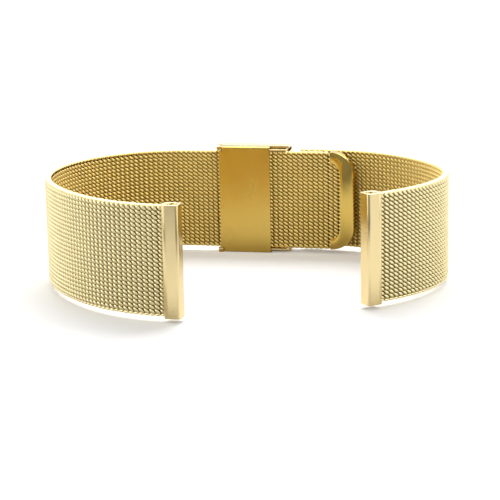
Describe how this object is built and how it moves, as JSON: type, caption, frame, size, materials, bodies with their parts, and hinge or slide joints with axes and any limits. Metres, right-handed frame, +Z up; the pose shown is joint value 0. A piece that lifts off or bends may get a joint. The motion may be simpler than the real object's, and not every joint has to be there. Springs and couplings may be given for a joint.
{
  "type": "milanese mesh watch band",
  "caption": "Woven mesh watch band with a sliding clasp, hooked ring, safety cover and spring bar end tubes.",
  "frame": {"origin": "middle of the footprint on the surface that the band stands on", "axes": "+X along the clasp from its hinge to the hook, +Y away from the wrist at the clasp, +Z up across the strap's width"},
  "size_m": [0.0736, 0.059, 0.021],
  "materials": {
    "mesh": "woven gold-coloured wire",
    "polished": "polished gold-coloured plate"
  },
  "bodies": {
    "clasp": {"clasp_channel": "polished", "hook_tongue": "polished"},
    "locking_plate": {"locking_plate": "polished", "lock_pin_upper": "polished", "lock_pin_lower": "polished"},
    "safety_cover": {"safety_cover": "polished", "cover_pin": "polished"},
    "long_strap_run": {"long_mesh_straight": "mesh"},
    "tail_tip": {"tail_mesh": "mesh", "tail_binding": "polished"},
    "long_strap_1": {"long_mesh_1": "mesh"},
    "long_strap_2": {"long_mesh_2": "mesh"},
    "long_strap_3": {"long_mesh_3": "mesh"},
    "long_strap_4": {"long_mesh_4": "mesh"},
    "long_strap_5": {"long_mesh_5": "mesh", "long_strap_cap": "polished"},
    "hook_ring": {"hook_ring": "polished"},
    "short_strap_1": {"ring_sleeve": "polished", "short_mesh_1": "mesh"},
    "short_strap_2": {"short_mesh_2": "mesh"},
    "short_strap_3": {"short_mesh_3": "mesh"},
    "short_strap_4": {"short_mesh_4": "mesh", "short_strap_cap": "polished"}
  },
  "joints": [
    {"name": "cover_hinge", "type": "hinge", "parent": "clasp", "child": "safety_cover", "pos_m": [-0.00957, 0.02811, 0.01051], "axis": [0, 0, 1], "range_deg": [0, 120]},
    {"name": "lock_hinge", "type": "hinge", "parent": "clasp", "child": "locking_plate", "pos_m": [-0.00967, 0.02443, 0.01051], "axis": [0, 0, -1], "range_deg": [0, 100]},
    {"name": "strap_slide", "type": "slide", "parent": "clasp", "child": "long_strap_run", "axis": [1, 0, 0], "range_m": [-0.0055, 0.002]},
    {"name": "tail_flex", "type": "hinge", "parent": "long_strap_run", "child": "tail_tip", "pos_m": [0.01118, 0.02541, 0.01051], "axis": [0, 0, 1], "range_deg": [-30, 5]},
    {"name": "long_flex_1", "type": "hinge", "parent": "long_strap_run", "child": "long_strap_1", "pos_m": [-0.01532, 0.02541, 0.01051], "axis": [0, 0, -1], "range_deg": [-7, 23.5]},
    {"name": "long_flex_2", "type": "hinge", "parent": "long_strap_1", "child": "long_strap_2", "pos_m": [-0.0295, 0.01925, 0.01051], "axis": [0, 0, -1], "range_deg": [-7, 42]},
    {"name": "long_flex_3", "type": "hinge", "parent": "long_strap_2", "child": "long_strap_3", "pos_m": [-0.03598, 0.00503, 0.01051], "axis": [0, 0, -1], "range_deg": [-7, 36]},
    {"name": "long_flex_4", "type": "hinge", "parent": "long_strap_3", "child": "long_strap_4", "pos_m": [-0.03286, -0.01031, 0.01051], "axis": [0, 0, -1], "range_deg": [-7, 29]},
    {"name": "long_flex_5", "type": "hinge", "parent": "long_strap_4", "child": "long_strap_5", "pos_m": [-0.0226, -0.02232, 0.01051], "axis": [0, 0, -1], "range_deg": [-7, 28.5]},
    {"name": "ring_pivot", "type": "hinge", "parent": "clasp", "child": "hook_ring", "pos_m": [0.00128, 0.02781, 0.01051], "axis": [0, 0, 1], "range_deg": [-3, 4]},
    {"name": "sleeve_pivot", "type": "hinge", "parent": "hook_ring", "child": "short_strap_1", "pos_m": [0.00501, 0.02821, 0.01051], "axis": [0, 0, 1], "range_deg": [-3, 20]},
    {"name": "short_flex_1", "type": "hinge", "parent": "short_strap_1", "child": "short_strap_2", "pos_m": [0.02427, 0.02386, 0.01051], "axis": [0, 0, 1], "range_deg": [-7, 31.5]},
    {"name": "short_flex_2", "type": "hinge", "parent": "short_strap_2", "child": "short_strap_3", "pos_m": [0.03402, 0.01264, 0.01051], "axis": [0, 0, 1], "range_deg": [-7, 37]},
    {"name": "short_flex_3", "type": "hinge", "parent": "short_strap_3", "child": "short_strap_4", "pos_m": [0.03504, -0.00189, 0.01051], "axis": [0, 0, 1], "range_deg": [-7, 39]}
  ]
}
